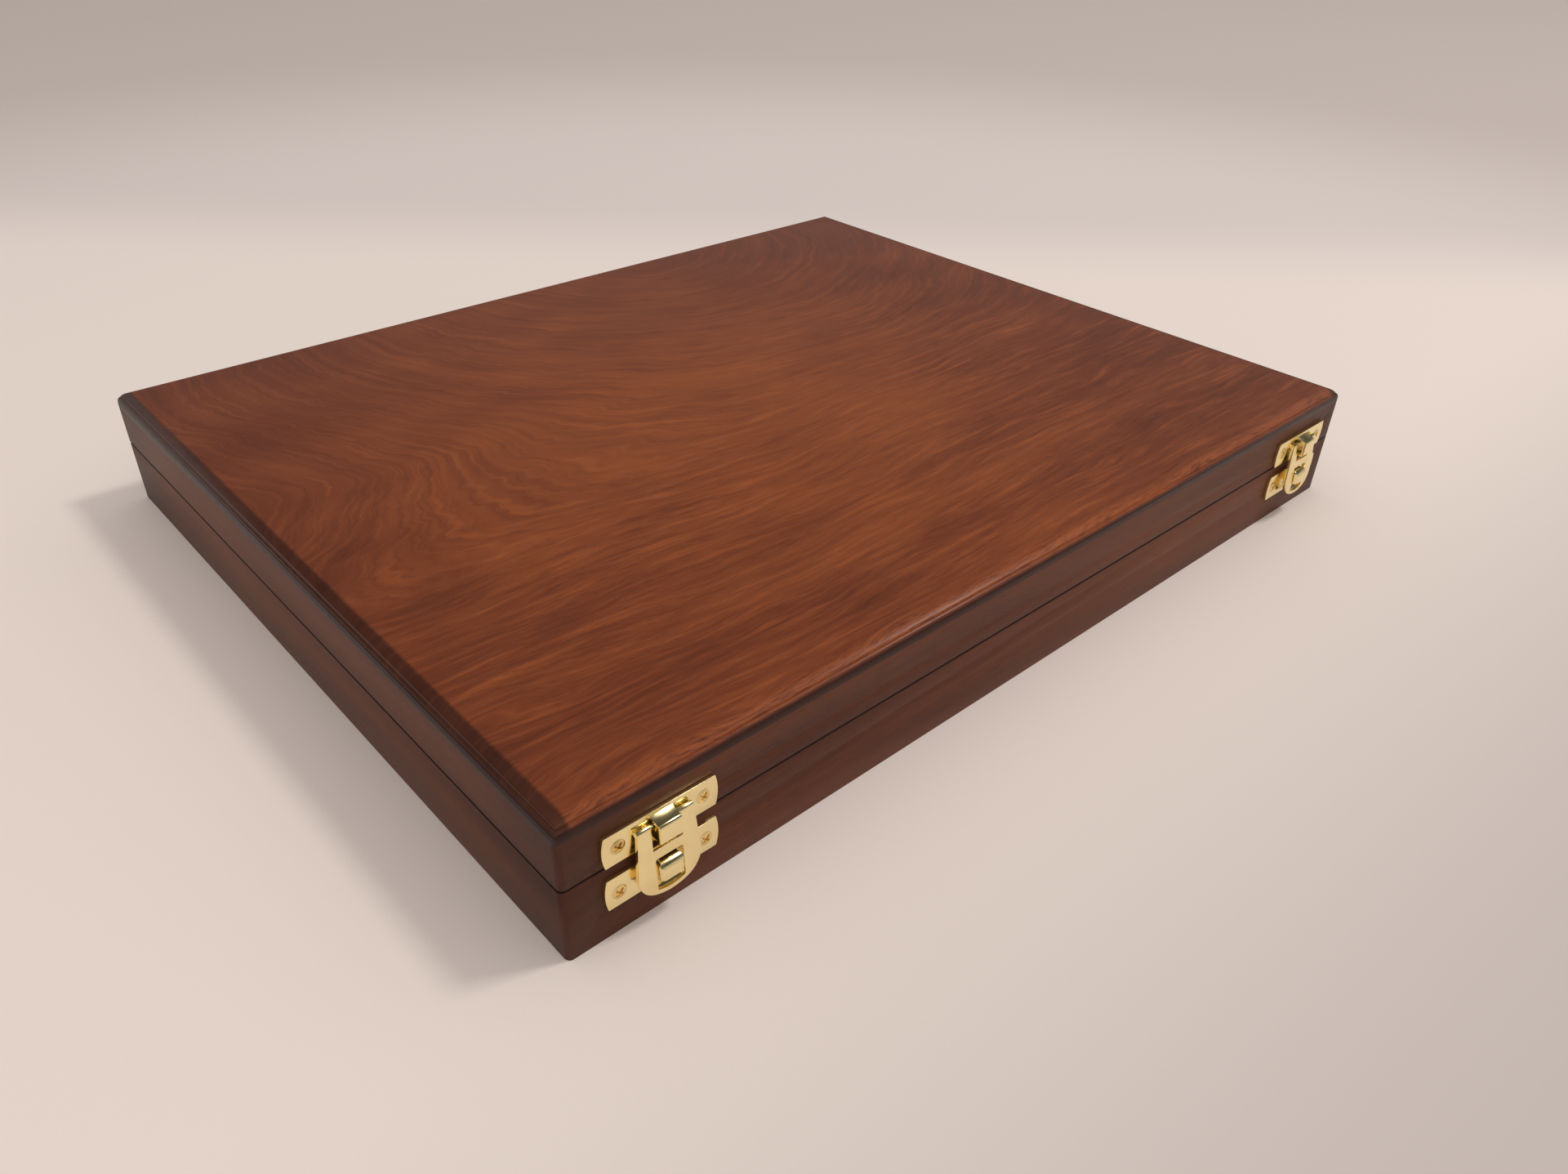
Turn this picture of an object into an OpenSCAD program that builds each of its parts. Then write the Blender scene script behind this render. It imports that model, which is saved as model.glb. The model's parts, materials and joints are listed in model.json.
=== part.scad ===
// Folding two-row mancala board: a mitred wooden case that opens flat into two playing
// trays, each with nine long pits and one store, with brass butt hinges and hasp catches.
// Millimetres. Origin at the centre of the underside, +X along the catch side, +Y to the
// hinge side, +Z up. The case is drawn closed.

/* [Case] */
// Length of the case along the catch side
case_w = 310; // [290:1:340]
// Depth of the case from catches to hinges
case_d = 250; // [240:1:270]
// Height of the base rails, which is the height of the seam
base_h = 20; // [20:0.5:24]
// Height of the lid rails, without the top panel
lid_rail_h = 12.6; // [12.6:0.1:16]
// Thickness of the moulded top panel
lid_panel_t = 4.4; // [4:0.1:5]
// Thickness of the plywood bottom panel
base_panel_t = 3; // [2:0.5:4]
// Thickness of the rails
rail_t = 10; // [9:0.5:10]
// Radius of the eased outer corners
corner_r = 1.5; // [0.5:0.1:3]
// Gap between the base and the closed lid
seam_gap = 0.4; // [0.3:0.1:0.6]

/* [Pits] */
// Number of pits in each row
pit_count = 9; // [5:1:9]
// Distance between the centres of neighbouring pits
pit_pitch = 31; // [30:0.5:31]
// Length of a pit along the depth of the case
pit_l = 140; // [120:1:140]
// Width of the store, along the depth of the case
store_w = 60; // [40:1:60]
// Radius of the cutter that shapes the pits and the store
cutter_r = 12.5; // [11:0.5:13]
// Depth of the pits and the store
pit_depth = 9.5; // [8:0.5:9.5]
// Width of the plain wood round the pits and the store
tray_margin = 9; // [8:0.5:9]

/* [Seeds] */
// Diameter of a seed
seed_d = 9; // [7:0.5:9]
// Seeds in each pit of the base
seeds_in_pit = 9; // [1:1:9]

/* [Catches] */
// Distance from the end of the case to the centre of a catch
catch_inset = 24.1; // [20:0.1:60]
// Width of a catch's plates
plate_w = 29.4; // [28.4:0.1:34]
// Thickness of the plates
plate_t = 1; // [0.8:0.1:1.2]
// Height of the upper plate, on the lid
upper_plate_h = 8.3; // [8:0.1:10]
// Height of the lower plate, on the base
lower_plate_h = 8.4; // [8.2:0.1:8.8]
// Width of the hasp at its pivot
hasp_top_w = 14.2; // [13:0.1:15]
// Width of the hasp at its widest
hasp_w = 16.1; // [15.4:0.1:17]
// Thickness of the hasp's sheet
hasp_t = 0.9; // [0.8:0.1:1]

/* [Hinges] */
// Distance from the centre of the case to the centre of a hinge
hinge_x = 105; // [60:1:120]
// Length of a hinge
hinge_l = 30; // [24:1:40]
// Thickness of a hinge leaf
leaf_t = 1; // [0.8:0.1:1.2]
// Width of a leaf, from the hinge axis
leaf_w = 8.9; // [8:0.1:9]
// Radius of the hinge knuckles
knuckle_r = 2; // [1.8:0.1:2.4]
// Radius of the hinge pin
hinge_pin_r = 1; // [0.8:0.1:1.1]

/* [Screws] */
// Radius of a countersunk head
head_r = 1.8; // [1.6:0.1:2]
// Radius of a shank
shank_r = 1; // [0.8:0.1:1]
// Length of a catch screw under its head
catch_screw_l = 8; // [6:0.5:8.5]
// Length of a hinge screw under its head
hinge_screw_l = 9; // [6:0.5:10]

/* [Hidden] */
$fn = 64;

// Heights of the seam and the lid
lid_z = base_h + seam_gap;
panel_z = lid_z + lid_rail_h;
inner_w = case_w - 2 * rail_t;
inner_d = case_d - 2 * rail_t;
front_y = -case_d / 2;
back_y = case_d / 2;
far = 2 * case_w;
eps = 0.01;

// How far a cut or a drill runs past the face it starts from
over = 1;

// Bottom panel's rebate in the rails
rebate = 3;

// Edge of the top panel: a lower round that rises from the side, a narrow ledge with a small
// upright, and a wide nose that runs out level with the top
round_r = 4;
round_h = 2.75;
ledge = 0.25;
nose_foot_x = round_r - sqrt(round_r * round_r - round_h * round_h) + ledge;
nose_foot_z = round_h + ledge;
edge_inset = 4.3;
nose_run = edge_inset - nose_foot_x;
nose_rise = lid_panel_t - nose_foot_z;
nose_r = (nose_run * nose_run + nose_rise * nose_rise) / (2 * nose_rise);

// The cutter's axis lies above the wood, and the pits end where its ball end comes down
cutter_lift = cutter_r - pit_depth;
mouth_r = sqrt(cutter_r * cutter_r - cutter_lift * cutter_lift);
pit_x0 = -pit_pitch * (pit_count - 1) / 2;
row_front_y = -inner_d / 2 + tray_margin;
store_back_y = inner_d / 2 - tray_margin;
store_front_y = store_back_y - store_w;
store_half_l = inner_w / 2 - tray_margin;

// Seeds lie a hair above the floor of the pits and the store
seed_r = seed_d / 2;
seed_lift = 0.02;
seed_gap = 0.15;
sway = 0.9;
slack = [2.5, 1.5];
slack_step = [5, 7];
slack_start = [0, 3];
store_seed_total = pit_count * seeds_in_pit;
store_rows = 4;
store_step = [10.2, 10.6];
store_sway = 0.5;

// Uneven turns, in degrees, that scatter the seeds in the same way each time
pit_turn = 97;
store_turn = [137, 211];

// Hinge axis, just behind the back face and halfway up the seam
axis_out = 0.4;
axis_y = back_y + axis_out;
axis_z = base_h + seam_gap / 2;
knuckle_play = 0.15;
pin_play = 0.05;
relief_gap = 0.3;
relief_r = knuckle_r + relief_gap;
relief_end = 0.5;
hinge_screw_inset = [6, 5.6];
hinge_screw_x = hinge_l / 2 - hinge_screw_inset[0];
hinge_screw_y = axis_y - hinge_screw_inset[1];

// Point of a screw, the cross recess in its head, and how far heads stand proud
screw_tip = [0.2, 1.5];
recess = [1.3 * head_r, 0.55, 0.8];
hinge_dome_h = 0.05;
catch_dome_h = 0.3;

// Catch plates, from the seam up and down
upper_plate_z = lid_z + 0.4;
lower_plate_z = base_h - 11.2;
plate_bulge = 0.65;
upper_screw = [10.8, upper_plate_z + upper_plate_h / 2 + 0.2];
lower_screw = [11.2, lower_plate_z + 3.7];

// Hasp pivot, and the bridge: a strap of the upper plate, folded out round the hasp's bar.
// Its top rises from the front towards the plate
pivot_y = -1.8;
pivot_z = lid_z + 5.8;
pivot_r = 0.7;
arm_end_r = 0.75;
bridge_w = 5.6;
bridge_t = 0.85;
bridge_r = 0.9;
bridge_out = 4.35;
bridge_z = [lid_z + 1.7, lid_z + 7.05];
bridge_rise = 1.05;
slot_w = 7.6;
slot_bottom = lid_z;

// Hasp: it leans out by hasp_lean from its pivot to its foot. A wide arc along the foot runs
// into a tighter arc at each side, with its centre foot_h up. The direction between the
// arcs' centres has length 1 in short decimals, so that the arcs meet with no gap. The
// window's lower edge follows the foot
hasp_bottom = base_h - 11.9;
hasp_lean = 1.35;
foot_turn = [0.352, -0.936]; // direction from the middle arc's centre to a side arc's
foot_step = 6;
foot_side_x = foot_turn[0] * foot_step;
foot_side_r = hasp_w / 2 - foot_side_x;
foot_r = foot_side_r + foot_step;
foot_h = foot_r + foot_turn[1] * foot_step;
foot_rim = 1;
window_w = 7.1;
window_top = base_h - 2.1;
window_r = 0.6;
lip_w = window_w;
lip_t = 0.7;
lip_bite = 0.1;
lip_y = -1.3;
lip_z = [hasp_bottom + 1.2, base_h - 8.7];

// Keeper: a cup pressed out of the lower plate, with a round top. It fills the hasp's window
keeper_w = 6.2;
keeper_z = [base_h - 7.8, base_h - 3.4];
keeper_out = 4.7;
keeper_r = 2.2;
keeper_side_r = 1.2;
keeper_t = 0.85;

// Front and back of the hasp's sheet at its pivot
hasp_front = pivot_y - arm_end_r;
hasp_back = hasp_front + hasp_t;

STAIN = [0.30, 0.13, 0.07];
TRAY = [0.42, 0.20, 0.10];
SEED = [0.72, 0.50, 0.28];
BRASS = [0.83, 0.69, 0.38];
module stained() { color(STAIN) children(); }
module brass() { color(BRASS) children(); }

// A flat outline with arcs of radius r at its corners
module rounded_rect(w, d, r) {
    square([w - 2 * r, d], center = true);
    square([w, d - 2 * r], center = true);
    for (x = [-1, 1], y = [-1, 1])
        translate([x * (w / 2 - r), y * (d / 2 - r)]) circle(r);
}

// Lays an outline drawn in X and Z flat against the front, from depth y0 inwards to y1
module upright(y0, y1) {
    translate([0, y1, 0]) rotate([90, 0, 0]) linear_extrude(y1 - y0) children();
}

// Runs an outline drawn in Y and Z along X, centred
module along_x(w) {
    translate([-w / 2, 0, 0]) rotate([90, 0, 90]) linear_extrude(w) children();
}

// ---- Case ----

// One mitred side of a frame. side is 0 front, 1 right, 2 back, 3 left
module mitred_side(side, z0, h) {
    half = [case_w, case_d, case_w, case_d][side] / 2;
    reach = [case_d, case_w, case_d, case_w][side] / 2;
    translate([0, 0, z0]) linear_extrude(h) intersection() {
        difference() {
            rounded_rect(case_w, case_d, corner_r);
            square([inner_w, inner_d], center = true);
        }
        rotate(90 * side) polygon([[-half, -reach], [half, -reach],
            [half - rail_t, rail_t - reach], [rail_t - half, rail_t - reach]]);
    }
}

module base_rail(side) {
    difference() {
        mitred_side(side, 0, base_h);
        translate([0, 0, base_panel_t / 2 - eps])
            cube([inner_w + 2 * rebate, inner_d + 2 * rebate, base_panel_t + 2 * eps], center = true);
    }
}

module lid_rail(side) { mitred_side(side, lid_z, lid_rail_h); }

module base_front_rail() {
    stained() difference() {
        base_rail(0);
        at_catches() plate_screw_holes(lower_screw);
    }
}

module base_back_rail() {
    stained() difference() {
        base_rail(2);
        at_hinges() hinge_cuts(base_h - leaf_t, base_h, -1);
    }
}

module base_left_rail() { stained() base_rail(3); }
module base_right_rail() { stained() base_rail(1); }

module base_panel() {
    stained() linear_extrude(base_panel_t)
        square([inner_w + 2 * rebate, inner_d + 2 * rebate], center = true);
}

module lid_front_rail() {
    stained() difference() {
        lid_rail(0);
        at_catches() plate_screw_holes(upper_screw);
    }
}

module lid_back_rail() {
    stained() difference() {
        lid_rail(2);
        at_hinges() hinge_cuts(lid_z, lid_z + leaf_t, 1);
    }
}

module lid_left_rail() { stained() lid_rail(3); }
module lid_right_rail() { stained() lid_rail(1); }

// Section of the panel's edge: wood towards +X, its underside at height 0
module edge_section() {
    difference() {
        square([2 * edge_inset, nose_foot_z]);
        translate([-eps, round_h]) square([nose_foot_x + eps, ledge + eps]);
        difference() {
            translate([-eps, -eps]) square([nose_foot_x, round_h + 2 * eps]);
            translate([round_r, 0]) circle(round_r);
        }
    }
    translate([nose_foot_x, nose_foot_z - eps]) square([2 * edge_inset - nose_foot_x, eps]);
    intersection() {
        translate([edge_inset, lid_panel_t - nose_r]) circle(nose_r, $fn = 128);
        translate([nose_foot_x, nose_foot_z - eps]) square([nose_run, nose_rise + eps]);
    }
    translate([edge_inset - eps, nose_foot_z - eps]) square([edge_inset + eps, nose_rise + eps]);
}

// What the moulding cutter takes off a panel edge that runs along X at y = 0, wood towards +Y
module moulding_waste(l) {
    along_x(l) translate([0, panel_z]) difference() {
        translate([-over, -over]) square([edge_inset + over, lid_panel_t + 2 * over]);
        translate([0, -2 * over]) square([2 * edge_inset, 2 * over + eps]);
        edge_section();
    }
}

module lid_panel() {
    stained() difference() {
        translate([0, 0, panel_z]) linear_extrude(lid_panel_t)
            rounded_rect(case_w, case_d, corner_r);
        for (s = [0, 180]) rotate(s) {
            translate([0, -case_d / 2, 0]) moulding_waste(far);
            rotate(90) translate([0, -case_w / 2, 0]) moulding_waste(far);
        }
    }
}

// ---- Playing trays ----

// The hollow left by a ball-ended cutter that runs l along Y, from y = 0
module cutter_run(l) {
    straight = l - 2 * mouth_r;
    translate([0, mouth_r, 0]) rotate([-90, 0, 0]) rotate_extrude() intersection() {
        union() {
            circle(cutter_r);
            square([cutter_r, straight]);
            translate([0, straight]) circle(cutter_r);
        }
        translate([0, -far]) square([far, 2 * far]);
    }
}

// The store's hollow: the same cutter run round a rectangle, and the floor cleared flat
module store_hollow() {
    lx = store_half_l - mouth_r;
    ly = store_w / 2 - mouth_r;
    for (y = [-ly, ly]) translate([-store_half_l, y, 0]) rotate(-90) cutter_run(2 * store_half_l);
    for (x = [-lx, lx]) translate([x, -store_w / 2, 0]) cutter_run(store_w);
    translate([-lx, -ly, -cutter_r]) cube([2 * lx, 2 * ly, 2 * cutter_r]);
}

// All hollows of one tray, cut into a face at height 0
module tray_hollows() {
    translate([0, 0, cutter_lift]) {
        for (i = [0 : pit_count - 1])
            translate([pit_x0 + i * pit_pitch, row_front_y, 0]) cutter_run(pit_l);
        translate([0, (store_front_y + store_back_y) / 2, 0]) store_hollow();
    }
}

module base_tray() {
    color(TRAY) difference() {
        translate([-inner_w / 2, -inner_d / 2, base_panel_t])
            cube([inner_w, inner_d, base_h - base_panel_t]);
        translate([0, 0, base_h]) tray_hollows();
    }
}

module lid_tray() {
    color(TRAY) difference() {
        translate([-inner_w / 2, -inner_d / 2, lid_z]) cube([inner_w, inner_d, lid_rail_h]);
        translate([0, 0, lid_z]) mirror([0, 0, 1]) tray_hollows();
    }
}

// ---- Seeds ----

module seed(x, y, z) { translate([x, y, z]) sphere(seed_r, $fn = 32); }

// Height of a seed that lies dx to one side of a pit's lowest line
function pit_seed_z(dx) = base_h + cutter_lift
    - sqrt(pow(cutter_r - seed_r - seed_lift, 2) - dx * dx);

// Gap number n of pit i, if it lies before seed k
function gap_before(n, i, k) =
    k > (i * slack_step[n] + slack_start[n]) % seeds_in_pit ? slack[n] : 0;

// A row of seeds from the front end of each pit, with two gaps at different places
module pit_seeds() {
    color(SEED) for (i = [0 : pit_count - 1], k = [0 : seeds_in_pit - 1]) {
        dx = sway * sin(pit_turn * (i * seeds_in_pit + k));
        y = row_front_y + mouth_r + k * (seed_d + seed_gap);
        seed(pit_x0 + i * pit_pitch + dx, y + gap_before(0, i, k) + gap_before(1, i, k),
            pit_seed_z(dx));
    }
}

// The other half of the seeds, loose on the floor of the store from its left end
module store_seeds() {
    x0 = mouth_r - store_half_l + store_sway;
    y0 = (store_front_y + store_back_y) / 2 - store_step[1] * (store_rows - 1) / 2;
    color(SEED) for (n = [0 : store_seed_total - 1]) {
        column = floor(n / store_rows);
        row = n % store_rows;
        seed(x0 + column * store_step[0] + store_sway * sin(store_turn[0] * n),
            y0 + row * store_step[1] + (column % 2 == 0 ? store_sway : -store_sway)
                + store_sway * cos(store_turn[1] * n),
            base_h - pit_depth + seed_r + seed_lift);
    }
}

// ---- Hinges ----

module at_hinges() { for (s = [-1, 1]) translate([s * hinge_x, 0, 0]) children(); }

// Knuckle n of three, as a cylinder of radius r that grows by play at each end
module knuckle(n, r, play) {
    l = hinge_l / 3;
    translate([-hinge_l / 2 + n * l - play, axis_y, axis_z]) rotate([0, 90, 0])
        cylinder(h = l + 2 * play, r = r);
}

// Countersunk hole through a leaf from height z0 up (dir 1) or down (dir -1)
module leaf_countersink(z, dir) {
    for (s = [-1, 1]) translate([s * hinge_screw_x, hinge_screw_y, z])
        mirror([0, 0, dir < 0 ? 1 : 0]) cylinder(h = leaf_t, r1 = head_r, r2 = shank_r);
}

// One leaf between heights z0 and z1, with the knuckles in own, clear of those in other
module leaf(z0, z1, own, other, bore_r, face_z, dir) {
    difference() {
        union() {
            translate([-hinge_l / 2, axis_y - leaf_w, z0]) cube([hinge_l, leaf_w, z1 - z0]);
            for (n = own) knuckle(n, knuckle_r, 0);
        }
        for (n = other) knuckle(n, relief_r, knuckle_play);
        for (n = own) knuckle(n, bore_r, over);
        leaf_countersink(face_z, dir);
    }
}

module hinge_base_leaf() {
    brass() leaf(base_h - leaf_t, base_h, [0, 2], [1], hinge_pin_r, base_h, -1);
}

module hinge_lid_leaf() {
    brass() leaf(lid_z, lid_z + leaf_t, [1], [0, 2], hinge_pin_r + pin_play, lid_z, 1);
}

module hinge_pin() {
    brass() translate([-hinge_l / 2, axis_y, axis_z]) rotate([0, 90, 0])
        cylinder(h = hinge_l, r = hinge_pin_r);
}

// Mortise for a leaf, relief for the knuckles and pilot holes, in a back rail
module hinge_cuts(z0, z1, dir) {
    translate([-hinge_l / 2, axis_y - leaf_w, z0]) cube([hinge_l, leaf_w + over, z1 - z0]);
    translate([-hinge_l / 2 - relief_end, axis_y, axis_z]) rotate([0, 90, 0])
        cylinder(h = hinge_l + 2 * relief_end, r = relief_r);
    for (s = [-1, 1]) translate([s * hinge_screw_x, hinge_screw_y, (z0 + z1) / 2])
        mirror([0, 0, dir < 0 ? 1 : 0]) cylinder(h = hinge_screw_l - leaf_t / 2, r = shank_r);
}

// ---- Screws ----

// A countersunk screw with a cross recess: its face at height 0, its point down
module screw(l, head_h, dome_h) {
    dome_r = (head_r * head_r + dome_h * dome_h) / (2 * dome_h);
    brass() difference() {
        union() {
            translate([0, 0, -head_h]) cylinder(h = head_h, r1 = shank_r, r2 = head_r);
            intersection() {
                translate([0, 0, dome_h - dome_r]) sphere(dome_r);
                cylinder(h = dome_h, r = head_r);
            }
            translate([0, 0, screw_tip[1] - l])
                cylinder(h = l - screw_tip[1] - head_h + eps, r = shank_r);
            translate([0, 0, -l]) cylinder(h = screw_tip[1], r1 = screw_tip[0], r2 = shank_r);
        }
        for (a = [45, 135]) rotate(a) translate([0, 0, dome_h])
            cube([recess[0], recess[1], 2 * recess[2]], center = true);
    }
}

module hinge_base_screws() {
    at_hinges() for (s = [-1, 1]) translate([s * hinge_screw_x, hinge_screw_y, base_h])
        screw(hinge_screw_l, leaf_t, hinge_dome_h);
}

module hinge_lid_screws() {
    at_hinges() for (s = [-1, 1]) translate([s * hinge_screw_x, hinge_screw_y, lid_z])
        mirror([0, 0, 1]) screw(hinge_screw_l, leaf_t, hinge_dome_h);
}

// ---- Catches ----

module at_catch(side) { translate([side * (case_w / 2 - catch_inset), front_y, 0]) children(); }
module at_catches() { for (s = [-1, 1]) at_catch(s) children(); }

// Pilot holes in a front rail behind a plate's two screws
module plate_screw_holes(at) {
    for (s = [-1, 1]) translate([s * at[0], 0, at[1]]) rotate([-90, 0, 0])
        translate([0, 0, -over]) cylinder(h = catch_screw_l, r = shank_r);
}

module plate_screws(at) {
    at_catches() for (s = [-1, 1]) translate([s * at[0], -plate_t, at[1]])
        rotate([90, 0, 0]) screw(catch_screw_l, plate_t, catch_dome_h);
}

// A plate with bowed ends and two countersunk holes, its back on the rail's face
module plate(z0, h, at) {
    bow_r = (h * h / 4 + plate_bulge * plate_bulge) / (2 * plate_bulge);
    difference() {
        upright(-plate_t, 0) difference() {
            translate([-plate_w / 2, z0]) square([plate_w, h]);
            for (s = [-1, 1]) difference() {
                translate([s * plate_w / 2, z0 + h / 2])
                    square([4 * plate_bulge, h + over], center = true);
                translate([s * (plate_w / 2 - bow_r), z0 + h / 2]) circle(bow_r, $fn = 128);
            }
        }
        for (s = [-1, 1]) translate([s * at[0], 0, at[1]]) rotate([90, 0, 0])
            cylinder(h = plate_t, r1 = shank_r, r2 = head_r);
    }
}

// Side view of the bridge, drawn g smaller all round, with round corners at its front
module bridge_outline(g) {
    front = g - bridge_out;
    low = bridge_z[0] + g;
    high = bridge_z[1] - g;
    r = max(bridge_r - g, eps);
    polygon([[0, low], [front + r, low], [front, low + r], [front, high - r],
        [front + r, high], [0, high + bridge_rise]]);
    for (z = [low + r, high - r]) translate([front + r, z]) circle(r);
}

module hasp_plate() {
    brass() difference() {
        union() {
            plate(upper_plate_z, upper_plate_h, upper_screw);
            in_front(plate_t / 2) along_x(bridge_w) bridge_outline(0);
        }
        in_front(plate_t) along_x(far) bridge_outline(bridge_t);
    }
}

// What stands more than y in front of the rail's face
module in_front(y) {
    intersection() {
        children();
        translate([-far / 2, -far - y, 0]) cube(far);
    }
}

// A round bar along X on the hasp's pivot
module bar(l, r) {
    translate([0, pivot_y, pivot_z]) rotate([0, 90, 0]) cylinder(h = l, r = r, center = true);
}

// Side view of the keeper, drawn g smaller all round
module keeper_outline(g) {
    translate([g - keeper_out, keeper_z[0] + g])
        square([keeper_out, keeper_z[1] - keeper_r - keeper_z[0] - g]);
    translate([keeper_r - keeper_out, keeper_z[0] + g])
        square([keeper_out, keeper_z[1] - keeper_z[0] - 2 * g]);
    translate([keeper_r - keeper_out, keeper_z[1] - keeper_r]) circle(keeper_r - g);
}

// The keeper's outside, rounded at its front and top corners too
module keeper_body() {
    intersection() {
        along_x(keeper_w) keeper_outline(0);
        linear_extrude(base_h) translate([0, far / 2 - keeper_out])
            rounded_rect(keeper_w, far, keeper_side_r);
        upright(-far, 0) translate([0, keeper_z[1] - far / 2])
            rounded_rect(keeper_w, far, keeper_side_r);
    }
}

module catch_plate() {
    brass() difference() {
        union() {
            plate(lower_plate_z, lower_plate_h, lower_screw);
            in_front(plate_t / 2) keeper_body();
        }
        along_x(keeper_w - 2 * keeper_t) keeper_outline(keeper_t);
    }
}

// The foot as three sectors. The middle arc and each side arc meet on the line through both
// of their centres, where they are tangent
module foot_outline() {
    ray = far * foot_turn;
    crown = [0, hasp_bottom + foot_r];
    intersection() {
        translate(crown) circle(foot_r, $fn = 128);
        polygon([crown, crown + ray, crown + [-ray[0], ray[1]]]);
    }
    for (s = [-1, 1]) {
        centre = [s * foot_side_x, hasp_bottom + foot_h];
        intersection() {
            translate(centre) circle(foot_side_r);
            polygon([centre, centre + [s * ray[0], ray[1]], centre + [s * far, 0]]);
        }
    }
}

module window_outline() {
    intersection() {
        translate([0, hasp_bottom + foot_r]) circle(foot_r - foot_rim, $fn = 128);
        translate([0, window_top - foot_r]) rounded_rect(window_w, 2 * foot_r, window_r);
    }
}

// Front view of the hasp: flared sides, a round foot, a slot for the bridge and a window
module hasp_outline() {
    shoulder = hasp_bottom + foot_h;
    difference() {
        union() {
            polygon([[-hasp_top_w / 2, pivot_z], [hasp_top_w / 2, pivot_z],
                [hasp_w / 2, shoulder], [-hasp_w / 2, shoulder]]);
            foot_outline();
        }
        translate([-slot_w / 2, slot_bottom]) square([slot_w, far]);
        window_outline();
    }
}

// Side view of the hasp's sheet, which leans out towards its foot
module hasp_profile() {
    polygon([[hasp_front, pivot_z], [hasp_back, pivot_z],
        [hasp_back - hasp_lean, hasp_bottom], [hasp_front - hasp_lean, hasp_bottom]]);
}

module hasp() {
    arm_w = (hasp_top_w - slot_w) / 2;
    lip_root = hasp_back - hasp_lean - lip_bite;
    brass() {
        intersection() {
            along_x(far) hasp_profile();
            upright(-far, 0) hasp_outline();
        }
        // Rolled ends of the arms, and the bar between them
        for (s = [-1, 1]) translate([s * (slot_w + arm_w) / 2, 0, 0]) bar(arm_w, arm_end_r);
        bar(slot_w + arm_w, pivot_r);
        // Lip folded in from the foot of the window
        along_x(lip_w) polygon([[lip_root, lip_z[0] - lip_t], [lip_y, lip_z[1] - lip_t],
            [lip_y, lip_z[1]], [lip_root, lip_z[0]]]);
    }
}

base_front_rail();
base_back_rail();
base_left_rail();
base_right_rail();
base_panel();
base_tray();
lid_front_rail();
lid_back_rail();
lid_left_rail();
lid_right_rail();
lid_panel();
lid_tray();
pit_seeds();
store_seeds();
translate([-hinge_x, 0, 0]) hinge_base_leaf();  // left_hinge_base_leaf
translate([-hinge_x, 0, 0]) hinge_lid_leaf();  // left_hinge_lid_leaf
translate([-hinge_x, 0, 0]) hinge_pin();  // left_hinge_pin
translate([hinge_x, 0, 0]) hinge_base_leaf();  // right_hinge_base_leaf
translate([hinge_x, 0, 0]) hinge_lid_leaf();  // right_hinge_lid_leaf
translate([hinge_x, 0, 0]) hinge_pin();  // right_hinge_pin
hinge_base_screws();
hinge_lid_screws();
at_catch(-1) catch_plate();  // left_catch_plate
at_catch(1) catch_plate();  // right_catch_plate
plate_screws(lower_screw);  // catch_plate_screws
at_catch(-1) hasp_plate();  // left_hasp_plate
at_catch(1) hasp_plate();  // right_hasp_plate
plate_screws(upper_screw);  // hasp_plate_screws
at_catch(-1) hasp();  // left_hasp
at_catch(1) hasp();  // right_hasp
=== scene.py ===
# %% [markdown]
# A folding mancala board, closed: a shallow hardwood case in two halves, hinged at the
# back and held at the front by two brass hasp catches. The frame gives every piece at its
# real size and place. This lesson gives each piece its edges and its finish, so nothing
# here moves or resizes a piece.
# %% Load the frame
import json
import math

import bmesh
import bpy
from mathutils import Matrix, Vector

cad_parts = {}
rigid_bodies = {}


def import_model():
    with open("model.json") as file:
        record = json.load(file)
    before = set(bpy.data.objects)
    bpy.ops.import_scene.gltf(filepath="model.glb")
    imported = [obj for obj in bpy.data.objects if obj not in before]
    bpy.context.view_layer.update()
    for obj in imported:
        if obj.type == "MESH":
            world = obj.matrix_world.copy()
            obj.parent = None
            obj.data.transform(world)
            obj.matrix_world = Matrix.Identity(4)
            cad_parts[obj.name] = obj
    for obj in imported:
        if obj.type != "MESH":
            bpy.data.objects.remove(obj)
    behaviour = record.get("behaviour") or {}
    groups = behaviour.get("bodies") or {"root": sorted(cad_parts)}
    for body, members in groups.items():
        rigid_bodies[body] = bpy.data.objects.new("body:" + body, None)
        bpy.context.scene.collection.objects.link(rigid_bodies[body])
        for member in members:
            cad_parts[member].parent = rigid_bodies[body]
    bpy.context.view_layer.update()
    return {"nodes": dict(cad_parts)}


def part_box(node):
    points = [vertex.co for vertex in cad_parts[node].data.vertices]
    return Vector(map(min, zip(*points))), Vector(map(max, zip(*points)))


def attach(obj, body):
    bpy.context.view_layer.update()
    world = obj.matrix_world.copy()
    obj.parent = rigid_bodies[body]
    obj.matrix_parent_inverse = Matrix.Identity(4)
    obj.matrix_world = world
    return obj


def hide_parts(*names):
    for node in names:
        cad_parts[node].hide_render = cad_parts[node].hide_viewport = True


for leftover in list(bpy.data.objects):
    bpy.data.objects.remove(leftover)
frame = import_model()
MM = 0.001


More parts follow.
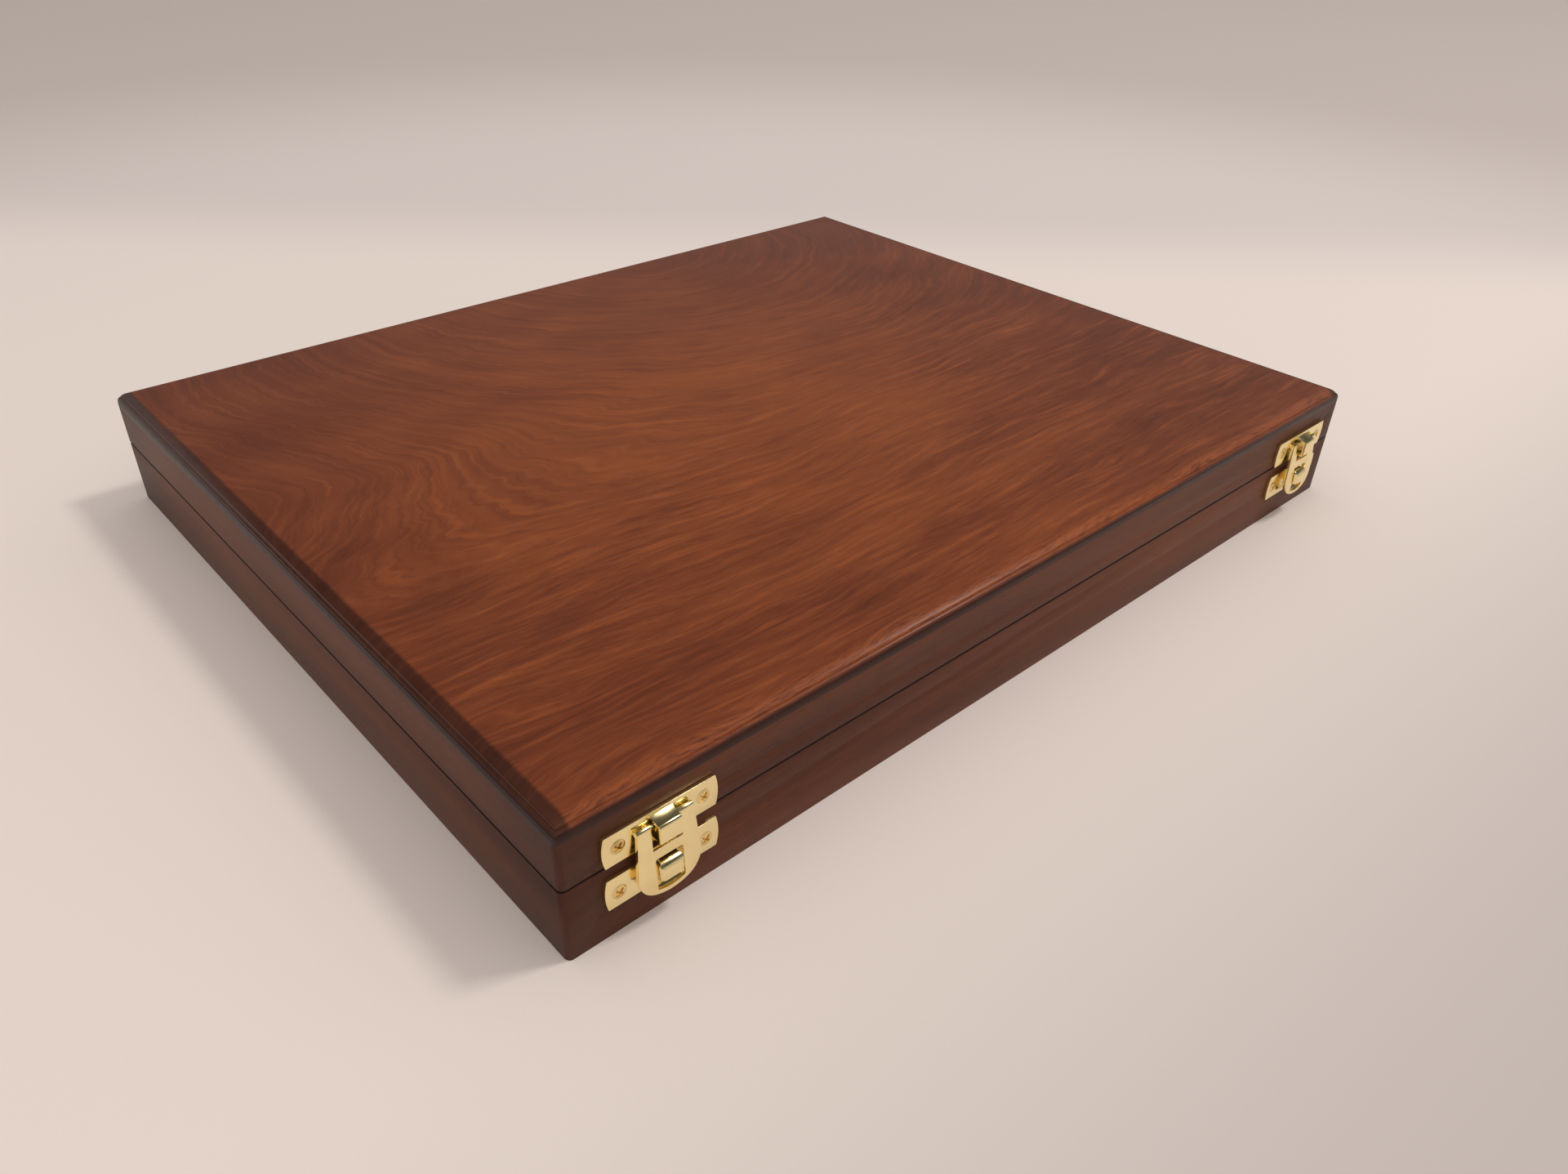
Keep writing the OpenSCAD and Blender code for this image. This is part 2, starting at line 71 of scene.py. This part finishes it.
# %% [markdown]
# The few places that the finishes need come from the frame: the corners of the case, the
# seam between its halves, and the height at which the moulded panel starts. Finishes are
# written in millimetres, because grain and pores are easier to think of that way.
# %% Places taken from the frame
case_low = Vector((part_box("base_left_rail")[0].x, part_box("base_front_rail")[0].y, 0))
case_high = Vector(
    (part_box("base_right_rail")[1].x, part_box("base_back_rail")[1].y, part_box("lid_panel")[1].z)
)
half_w = case_high.x / MM
half_d = case_high.y / MM
panel_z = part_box("lid_panel")[0].z / MM
seam_z = (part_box("base_front_rail")[1].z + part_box("lid_front_rail")[0].z) / 2 / MM
top_z = case_high.z / MM
print("case", round(2 * half_w, 1), "by", round(2 * half_d, 1), "by", round(top_z, 1), "mm")

# %% [markdown]
# The camera stands close, outside the near left corner and well above it, as a person
# leaning over a table would. A short lens that close makes the near corner loom. The last
# turn rolls the camera a little about its own line of sight.
# %% Camera
camera_from_corner = Vector((-75.2, -141.6, 197.7)) * MM
camera_heading = 43.05
camera_tilt = 33.94
camera_roll = 1.59
camera_lens = 27

camera = bpy.data.objects.new("camera", bpy.data.cameras.new("camera"))
bpy.context.scene.collection.objects.link(camera)
camera.data.lens = camera_lens
camera.data.clip_start = 0.01
turn = Matrix.Rotation(math.radians(-camera_heading), 4, "Z")
lean = Matrix.Rotation(math.radians(90 - camera_tilt), 4, "X")
roll = Matrix.Rotation(math.radians(camera_roll), 4, "Z")
camera.matrix_world = Matrix.Translation(case_low + camera_from_corner) @ turn @ lean @ roll
bpy.context.scene.camera = camera
bpy.context.scene.view_settings.view_transform = "Standard"
print("camera at", [round(c, 3) for c in camera.matrix_world.translation])

# %% [markdown]
# A finish is a little sum: how much pore, how much figure, how much stain. Writing those
# sums as Python keeps them readable, so this class wraps one output of a shader node and
# turns +, -, *, / and ** into Math nodes. Every other node comes from its one method.
# %% Shader sums
class Wire:
    """An output of a shader node, or with no socket the start of a node tree."""

    def __init__(self, tree, socket=None):
        self.tree = tree
        self.socket = socket

    def node(self, kind, settings=None, sockets=None, output=0):
        """Adds a node: its settings first, then the values or wires of its sockets."""
        made = self.tree.nodes.new("ShaderNode" + kind)
        for name, value in (settings or {}).items():
            if name == "stops":
                set_stops(made.color_ramp, value)
            else:
                setattr(made, name, value)
        for name, value in (sockets or {}).items():
            if isinstance(value, Wire):
                self.tree.links.new(value.socket, made.inputs[name])
            else:
                made.inputs[name].default_value = value
        return Wire(self.tree, made.outputs[output])

    def math(self, operation, a, b):
        return self.node("Math", {"operation": operation}, {0: a, 1: b})

    def __add__(self, other):
        return self.math("ADD", self, other)

    def __mul__(self, other):
        return self.math("MULTIPLY", self, other)

    def __sub__(self, other):
        return self.math("SUBTRACT", self, other)

    def __rsub__(self, other):
        return self.math("SUBTRACT", other, self)

    def __truediv__(self, other):
        return self.math("DIVIDE", self, other)

    def __pow__(self, other):
        return self.math("POWER", self, other)

    def __abs__(self):
        return self.node("Math", {"operation": "ABSOLUTE"}, {0: self})

    __radd__ = __add__
    __rmul__ = __mul__


def set_stops(ramp, stops):
    """Puts (place, colour) stops on a colour ramp."""
    while len(ramp.elements) < len(stops):
        ramp.elements.new(1)
    for element, (place, colour) in zip(ramp.elements, stops):
        element.position = place
        element.color = colour


print("Wire is ready")

# %% [markdown]
# Colours are given as red, green and blue from 0 to 255, as a paint card would, and are
# turned into the linear light that the renderer works in. The other helpers are the ones
# that every finish shares: cloudy noise stretched along the grain, a soft threshold, and
# a blend of two colours.
# %% Colour, noise and threshold helpers
def paint(red, green, blue):
    """A paint-card colour as linear red, green, blue and alpha."""
    shares = [c / 255 for c in (red, green, blue)]
    return (*[s / 12.92 if s <= 0.04045 else ((s + 0.055) / 1.055) ** 2.4 for s in shares], 1)


def noise(place, grain, detail=3, shift=0):
    """Cloudy values round 0.5. grain is the length of a cloud along each axis."""
    rate = [1 / g for g in grain]
    spread = place.node(
        "VectorMath", {"operation": "MULTIPLY_ADD"}, {0: place, 1: rate, 2: [shift] * 3}
    )
    return place.node("TexNoise", None, {"Vector": spread, "Scale": 1, "Detail": detail})


def ripple(along, length, detail=2, shift=0):
    """Cloudy values round 0.5 that change only with the distance along."""
    return along.node(
        "TexNoise",
        {"noise_dimensions": "1D"},
        {"W": along / length + shift, "Scale": 1, "Detail": detail},
    )


def soft_step(value, low, high):
    """0 below low, 1 above high, and smooth between them."""
    return value.node(
        "MapRange",
        {"interpolation_type": "SMOOTHSTEP"},
        {"Value": value, "From Min": low, "From Max": high},
    )


def blend(share, a, b):
    """Colour a where share is 0 and colour b where it is 1."""
    return share.node("Mix", {"data_type": "RGBA"}, {0: share, 6: a, 7: b}, 2)


def axes(place):
    """The three numbers of a vector."""
    return [place.node("SeparateXYZ", None, {0: place}, i) for i in range(3)]


def vector(place, x, y, z):
    return place.node("CombineXYZ", None, {0: x, 1: y, 2: z})


def relief(height, depth):
    """A bump whose full height stands depth millimetres proud."""
    return height.node("Bump", None, {"Strength": 1, "Distance": depth * MM, "Height": height})


print("paint(128, 64, 32) is", [round(c, 3) for c in paint(128, 64, 32)])

# %% [markdown]
# Each finish is a function that starts from a place in millimetres and returns what
# varies over the surface. This helper makes the material, hands the function its place,
# and plugs what comes back into the Principled shader. Plain numbers go straight on the
# shader's own sockets.
# %% Material maker
def make_finish(name, recipe, **constants):
    """A material whose varying sockets come from recipe(place)."""
    material = bpy.data.materials.new(name)
    material.use_nodes = True
    shader = material.node_tree.nodes["Principled BSDF"]
    start = Wire(material.node_tree)
    position = start.node("TexCoord", output="Object")
    place = position.node("VectorMath", {"operation": "SCALE"}, {0: position, "Scale": 1 / MM})
    for socket, value in constants.items():
        shader.inputs[socket.replace("_", " ")].default_value = value
    for socket, wire in recipe(place).items():
        material.node_tree.links.new(wire.socket, shader.inputs[socket])
    print("finish", name, len(material.node_tree.nodes), "nodes")
    return material


# %% [markdown]
# The room: a pale cloth under the case, and soft light. The cloth is one wide disc, so it
# fills the view from every side. It is painted greyer towards the viewer, with distance and
# past the far corner of the case: painted shade where the light falls away. Each fade of
# this painted shade is given as the two distances, in millimetres, between which it happens.
# %% Floor cloth
floor_radius = 3.0
cloth_near = paint(218, 206, 199)
cloth_front_shade = paint(184, 174, 169)
cloth_back_shade = paint(202, 192, 188)
cloth_far_shade = paint(184, 173, 167)
front_shade_fade = (110, 290)
back_shade_fade = (210, 340)
far_shade_fade = (450, 850)
to_far_corner = (0.68, 0.73)


def cloth(place):
    x, y, _ = axes(place)
    distance = (x * x + y * y) ** 0.5
    behind = x * to_far_corner[0] + y * to_far_corner[1]
    weave = noise(place, (0.5, 0.5, 0.5), 2)
    folds = noise(place, (260, 160, 100), 1)
    # The three blends below paint shade onto the cloth: greyer at the front, behind the far corner
    # and far off.
    colour = blend(soft_step(-1 * y, *front_shade_fade), cloth_near, cloth_front_shade)
    colour = blend(soft_step(behind, *back_shade_fade), colour, cloth_back_shade)
    return {
        "Base Color": blend(soft_step(distance, *far_shade_fade), colour, cloth_far_shade),
        "Normal": relief(folds + weave * 0.02, 1.2),
    }


shape = bmesh.new()
bmesh.ops.create_circle(shape, cap_ends=True, radius=floor_radius, segments=96)
floor_mesh = bpy.data.meshes.new("floor")
shape.to_mesh(floor_mesh)
shape.free()
floor = bpy.data.objects.new("floor", floor_mesh)
bpy.context.scene.collection.objects.link(floor)
floor_mesh.materials.append(make_finish("floor_cloth_painted_shade", cloth, Roughness=0.9))

# %% [markdown]
# The main lamp stands to the front right and high up, which lays a short soft shadow past
# the left end. A wide, weaker one stands behind the viewer: it softens that shadow and
# gives the rounded brass a clear highlight.
# %% Lamps
lamp_tint = (1, 0.96, 0.92)


def add_lamp(name, direction, distance, size, power):
    """A square lamp that shines at the case from the given direction, in metres and watts."""
    lamp = bpy.data.objects.new(name, bpy.data.lights.new(name, "AREA"))
    bpy.context.scene.collection.objects.link(lamp)
    lamp.data.size = size
    lamp.data.energy = power
    lamp.data.color = lamp_tint
    aim = direction.normalized()
    lamp.matrix_world = (
        Matrix.Translation(aim * distance) @ aim.to_track_quat("Z", "Y").to_matrix().to_4x4()
    )
    print(name, power, "W at", distance, "m")


add_lamp("main_lamp", Vector((0.457, -0.25, 0.854)), 3.0, 0.44, 30)
add_lamp("fill_lamp", Vector((-0.35, -0.8, 1.1)), 2.2, 0.9, 6)

# %% [markdown]
# The rest of the light comes from all round. Lacquer shows whatever it mirrors as a haze
# over its colour, and a real room has a pale wall and a dark ceiling. So what the surfaces
# mirror is pale near the horizon and dark overhead, while what lights them stays even.
# %% Sky
sky_horizon = 0.45
sky_zenith = 0.84
mirrored_wall = 0.5
mirrored_ceiling = 0.05
wall_top = (0.1, 0.5)
sky_rise = (0, 0.9)
sky_tint = (1, 0.965, 0.94, 1)

world = bpy.data.worlds.new("sky")
bpy.context.scene.world = world
world.use_nodes = True
sky = Wire(world.node_tree)
up = axes(sky.node("TexCoord", output="Generated"))[2]
light = sky_horizon + soft_step(up, *sky_rise) * (sky_zenith - sky_horizon)
mirrored = mirrored_wall + soft_step(up, *wall_top) * (mirrored_ceiling - mirrored_wall)
is_mirror = sky.node("LightPath", output="Is Glossy Ray")
brightness = light + is_mirror * (mirrored - light)
background = world.node_tree.nodes["Background"]
world.node_tree.links.new(brightness.socket, background.inputs["Strength"])
background.inputs["Color"].default_value = sky_tint
print("sky", sky_horizon, "to", sky_zenith, "and mirrored", mirrored_wall, "to", mirrored_ceiling)

# %% [markdown]
# The top is the part that people look at: one wide board of stained hardwood under satin
# lacquer. Its grain runs along the length. Towards the back left the growth rings are cut
# in nested arches, and towards the front they open out into long streaks. A plain wood
# texture would repeat one ring pattern, so this recipe draws its own ring field: the
# distance from a point past the back edge, squeezed so that the arches flatten out, and
# pushed about by two sizes of noise. Every later layer reads that field, so streaks,
# lines and fibres all follow the same figure.
# %% Top board figure
arch_x = 55
arch_y = 130
arch_stretch = 1.15
straight_share = 0.12
opening_out = (-70, 35)


def ring_field(place):
    """How far a point lies into the figure, in millimetres."""
    x, y, _ = axes(place)
    openness = straight_share + (1 - straight_share) * soft_step(y, *opening_out)
    across = (x - arch_x) * openness / arch_stretch
    down = arch_y - y
    rings = (across * across + down * down) ** 0.5
    broad = noise(place, (110, 48, 60), 2) - 0.5
    small = noise(place, (24, 5, 30), 3, 7) - 0.5
    return rings + broad * 20 + small * 4


# %% [markdown]
# The figure is faint: most of the colour is soft clouds, short streaks and hair-fine
# fibres, with wide bands and a few narrow lines only just showing through. The board is
# paler at its heart. The stain gathers where a brush leaves it, so the ends are nearly black.
# The foot of the moulded edge is painted nearly black as painted shade, and the round nose
# along the front is painted paler as a painted highlight. The places of these are
# millimetres in from the edge, or up from the panel's underside.
# %% Top board finish
top_dark = paint(82, 35, 15)
top_middle = paint(107, 49, 21)
top_light = paint(134, 68, 29)
top_orange_and_highlight = paint(160, 82, 32)
edge_stain_and_shade = paint(42, 17, 10)
pore_dark = paint(56, 25, 14)
heart_place = (-20, -10)
heart_fade = (30, 165)
nose_highlight_in = (2, 5)
nose_highlight_up = (2, 3.4)
end_grain_in = (3.4, 4.6)
low_edge_shade_up = (1.6, 2.6)


def top_board(place):
    x, y, z = axes(place)
    rings = ring_field(place)
    grain = vector(place, x, rings, z)
    bands = ripple(rings, 16)
    lines = ripple(rings, 3.4, 2, 11)
    clouds = noise(place, (46, 26, 40), 3, 3)
    streaks = noise(grain, (30, 2.2, 40), 4, 5)
    hairs = noise(grain, (11, 0.8, 8), 3, 6)
    fibres = noise(grain, (5, 0.3, 3), 3, 8)
    near = 1 - 0.5 * soft_step(y, -40, 70)
    from_heart = ((x - heart_place[0]) ** 2 + (y - heart_place[1]) ** 2) ** 0.5
    heart = 1 - soft_step(from_heart, *heart_fade)
    faint = bands * 0.12 + lines * 0.07 + clouds * 0.2 + hairs * 0.18 + fibres * 0.16
    tone = faint + (streaks - 0.5) * 0.2 * near + heart * 0.11 + 0.11
    wood = tone.node(
        "ValToRGB",
        {"stops": [(0.35, top_dark), (0.48, top_middle), (0.64, top_light)]},
        {0: tone},
    )
    glow = soft_step(streaks, 0.52, 0.76) * near
    wood = blend(glow * 0.32, wood, top_orange_and_highlight)
    above = z - panel_z
    # Painted highlight: the round nose along the front is painted paler orange.
    at_front = 1 - soft_step(y + half_d, *nose_highlight_in)
    painted_nose_highlight = at_front * soft_step(above, *nose_highlight_up)
    wood = blend(painted_nose_highlight * 0.5 * soft_step(fibres, 0.3, 0.6), wood, top_orange_and_highlight)
    pores = soft_step(noise(place, (3.2, 0.16, 0.6), 2, 9), 0.64, 0.72)
    open_pores = pores * soft_step(noise(place, (60, 40, 40), 1, 4), 0.35, 0.6)
    wood = blend(open_pores * 0.35, wood, pore_dark)
    end_grain = 1 - soft_step(half_w - abs(x), *end_grain_in)
    # Painted shade: the foot of the moulded edge is painted nearly black; the darker ends are real
    # end-grain stain.
    low_edge_shade = 1 - soft_step(above, *low_edge_shade_up)
    end_stain_and_edge_shade = 1 - (1 - end_grain * 0.72) * (1 - low_edge_shade * 0.92)
    wood = blend(end_stain_and_edge_shade, wood, edge_stain_and_shade)
    height = fibres * 0.35 - open_pores
    return {
        "Base Color": wood,
        "Roughness": 0.36 + 0.14 * fibres + 0.1 * open_pores,
        "Normal": relief(height, 0.035),
    }


top_finish = make_finish(
    "satin_top_board",
    top_board,
    Coat_Weight=0.08,
    Coat_Roughness=0.25,
    Specular_IOR_Level=0.3,
)

# %% [markdown]
# The rails, trays and bottom are the same wood without the show figure: straight fibres,
# slow bands of darker and lighter wood, and dark pores. One recipe makes them all. It is
# told which way the grain runs and how dark the stain is, because the side rails are cut
# with their grain across the case. The wood is also darker towards the corners of the case,
# and painted shade darkens it along the seam between its halves.
# %% Plain stained wood
corner_reach = 40
seam_shade_band = (0.3, 0.7)


def stained(along, dark, light, band=9, pore_share=0.5):
    """A recipe for plain wood with its grain along axis 0 (X) or axis 1 (Y)."""

    def recipe(place):
        numbers = axes(place)
        run = numbers[along]
        side = numbers[1 - along]
        drift = noise(place, (90, 90, 30), 1, 2) - 0.5
        grain = vector(place, run, side + drift * 8, numbers[2] + drift * 5)
        bands = noise(grain, (150, band, band), 2, 6)
        fibres = noise(grain, (18, 0.5, 0.5), 4, 8)
        fleck = noise(grain, (4, 0.9, 0.9), 2, 3)
        patches = noise(place, (120, 60, 40), 1, 12)
        tone = bands * 0.45 + fibres * 0.3 + fleck * 0.1 + patches * 0.15
        wood = tone.node("ValToRGB", {"stops": [(0.36, dark), (0.64, light)]}, {0: tone})
        pores = soft_step(noise(grain, (3, 0.15, 0.15), 2, 9), 0.63, 0.71)
        wood = blend(pores * pore_share, wood, pore_dark)
        # Darker towards the corners of the case.
        near_end = soft_step(abs(numbers[0]), half_w - corner_reach, half_w)
        near_side = soft_step(abs(numbers[1]), half_d - corner_reach, half_d)
        wood = blend(near_end * near_side * 0.5, wood, edge_stain_and_shade)
        # Painted shade along the seam between the two halves.
        from_seam = abs(numbers[2] - seam_z)
        wood = blend(0.85 * (1 - soft_step(from_seam, *seam_shade_band)), wood, edge_stain_and_shade)
        return {
            "Base Color": wood,
            "Roughness": 0.4 + 0.16 * fibres,
            "Normal": relief(fibres * 0.4 - pores, 0.03),
        }

    return recipe


rail_dark = paint(74, 35, 19)
rail_light = paint(108, 58, 33)
tray_dark = paint(88, 46, 30)
tray_light = paint(142, 84, 52)
ply_dark = paint(84, 48, 34)
ply_light = paint(118, 74, 52)
lacquer = {"Coat_Weight": 0.03, "Coat_Roughness": 0.3, "Specular_IOR_Level": 0.2}
rail_x = make_finish("stained_rail_long", stained(0, rail_dark, rail_light), **lacquer)
rail_y = make_finish("stained_rail_short", stained(1, rail_dark, rail_light), **lacquer)
tray_wood = make_finish("stained_tray", stained(0, tray_dark, tray_light, 14, 0.4), **lacquer)
ply_wood = make_finish("stained_ply", stained(0, ply_dark, ply_light, 30, 0.3))

# %% [markdown]
# The catches and hinges are stamped brass, polished and lacquered. Brass is a metal, so
# its colour is the tint of what it mirrors. The lacquer is never quite flat, so a faint
# swell in the surface bends the reflections, and fine rubbing marks change how sharp they
# are.
# %% Brass
def polished(tint, dull, wear):
    """A recipe for polished brass that dulls in patches."""

    def recipe(place):
        patches = noise(place, (6, 6, 6), 3, 1)
        rubbing = noise(place, (3, 0.12, 0.12), 3, 4)
        swell = noise(place, (2.2, 2.2, 2.2), 1, 2)
        return {
            "Base Color": blend(soft_step(patches, 0.45, 0.75) * wear, tint, dull),
            "Roughness": 0.11 + 0.08 * patches + 0.08 * rubbing,
            "Normal": relief(swell + rubbing * 0.04, 0.02),
        }

    return recipe


bright_brass = polished(paint(255, 236, 178), paint(240, 212, 146), 0.4)
worn_brass = polished(paint(244, 216, 148), paint(170, 134, 74), 0.8)
brass = make_finish("polished_brass", bright_brass, Metallic=1)
screw_brass = make_finish("screw_brass", worn_brass, Metallic=1)

# %% [markdown]
# Real edges are never knife sharp. The frame's pieces have exact edges, so each visible
# piece is copied, its flat faces are joined up again, and its sharp edges get a narrow
# rounded bevel that catches the light. The copy then stands for the frame's piece. A
# bevel modifier could do this too, but the copy lets an edge be left alone where two
# pieces meet flush and must show no groove. Lengths here are in millimetres and angles
# in degrees.
# %% Edge easing
weld_gap = 0.002
flat_angle = 0.5
sharp_angle = 30
smooth_angle = 40


def eased(node, width, finish, body, leave=None, segments=2):
    """A copy of a frame piece with edges rounded by width millimetres, standing for it."""
    shape = bmesh.new()
    shape.from_mesh(frame["nodes"][node].data)
    bmesh.ops.remove_doubles(shape, verts=shape.verts, dist=weld_gap * MM)
    bmesh.ops.dissolve_limit(
        shape,
        angle_limit=math.radians(flat_angle),
        verts=shape.verts,
        edges=shape.edges,
    )
    corners = [
        edge
        for edge in shape.edges
        if len(edge.link_faces) == 2
        and edge.calc_face_angle() > math.radians(sharp_angle)
        and not (leave and leave(edge))
    ]
    bmesh.ops.bevel(
        shape,
        geom=corners,
        offset=width * MM,
        segments=segments,
        profile=0.5,
        affect="EDGES",
        clamp_overlap=True,
    )
    mesh = bpy.data.meshes.new(node + "_eased")
    shape.to_mesh(mesh)
    shape.free()
    mesh.shade_smooth()
    mesh.set_sharp_from_angle(angle=math.radians(smooth_angle))
    mesh.materials.append(finish)
    piece = bpy.data.objects.new(node + "_eased", mesh)
    bpy.context.scene.collection.objects.link(piece)
    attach(piece, body)
    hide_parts(node)
    print(piece.name, len(corners), "edges,", len(mesh.polygons), "faces")
    return piece


# %% [markdown]
# The case rails meet in mitres at the corners. Their long edges are eased, and the edges
# in a mitre are left sharp so that the joint stays closed.
# %% Case rails
touching = 0.01


def in_mitre(edge):
    """True for an edge that lies in the plane where two rails meet."""
    offsets = [(half_w - abs(v.co.x) / MM) - (half_d - abs(v.co.y) / MM) for v in edge.verts]
    return all(abs(offset) < touching for offset in offsets)


def flush_with_panel(edge):
    """True for an edge in a mitre or against the moulded panel."""
    return in_mitre(edge) or all(abs(v.co.z / MM - panel_z) < touching for v in edge.verts)


for side, finish in (("front", rail_x), ("back", rail_x), ("left", rail_y), ("right", rail_y)):
    eased(f"base_{side}_rail", 0.25, finish, "base", in_mitre)
    eased(f"lid_{side}_rail", 0.25, finish, "lid", flush_with_panel)

# %% [markdown]
# The moulded panel carries the top board's figure. Its own crisp mouldings stay, with only
# the sharpest lines broken.
# %% Moulded top panel
eased("lid_panel", 0.08, top_finish, "lid", flush_with_panel)

# %% [markdown]
# The trays and the bottom keep the frame's shape exactly and take a finish in place.
# %% Trays and bottom
frame["nodes"]["base_tray"].data.materials[0] = tray_wood
frame["nodes"]["lid_tray"].data.materials[0] = tray_wood
frame["nodes"]["base_panel"].data.materials[0] = ply_wood

# %% [markdown]
# Catches and hinges: stamped sheet has slightly rolled edges, and screw heads have a
# small burr-free round. The pins are plain rod and keep the frame's own shape.
# %% Brass pieces
for hand in ("left", "right"):
    eased(f"{hand}_catch_plate", 0.18, brass, "base", segments=3)
    eased(f"{hand}_hasp_plate", 0.18, brass, "lid", segments=3)
    eased(f"{hand}_hasp", 0.16, brass, f"{hand}_hasp", segments=3)
    eased(f"{hand}_hinge_base_leaf", 0.15, brass, "base")
    eased(f"{hand}_hinge_lid_leaf", 0.15, brass, "lid")
    frame["nodes"][f"{hand}_hinge_pin"].data.materials[0] = brass
for node, body in (
    ("catch_plate_screws", "base"),
    ("hinge_base_screws", "base"),
    ("hasp_plate_screws", "lid"),
    ("hinge_lid_screws", "lid"),
):
    eased(node, 0.05, screw_brass, body)

# %% [markdown]
# The seeds are small turned balls of pale wood. Each is a little different in colour, so
# the finish reads a random number for each separate ball, and the same number shifts
# where each ball's grain pattern falls.
# %% Seeds
seed_dark = paint(168, 112, 62)
seed_middle = paint(196, 146, 88)
seed_pale = paint(220, 180, 122)


def seed_finish(place):
    own = place.node("NewGeometry", output="Random Per Island")
    x, y, z = axes(place)
    grain = vector(place, x + own * 40, y + own * 90, z)
    fibres = noise(grain, (5, 0.5, 0.8), 3)
    tone = 0.55 * own + 0.45 * fibres
    wood = tone.node(
        "ValToRGB",
        {"stops": [(0.2, seed_dark), (0.5, seed_middle), (0.8, seed_pale)]},
        {0: tone},
    )
    return {"Base Color": wood, "Roughness": 0.32 + 0.2 * fibres, "Normal": relief(fibres, 0.02)}


seed_wood = make_finish("turned_seed", seed_finish, Coat_Weight=0.3, Coat_Roughness=0.2)
for node in ("pit_seeds", "store_seeds"):
    frame["nodes"][node].data.materials[0] = seed_wood
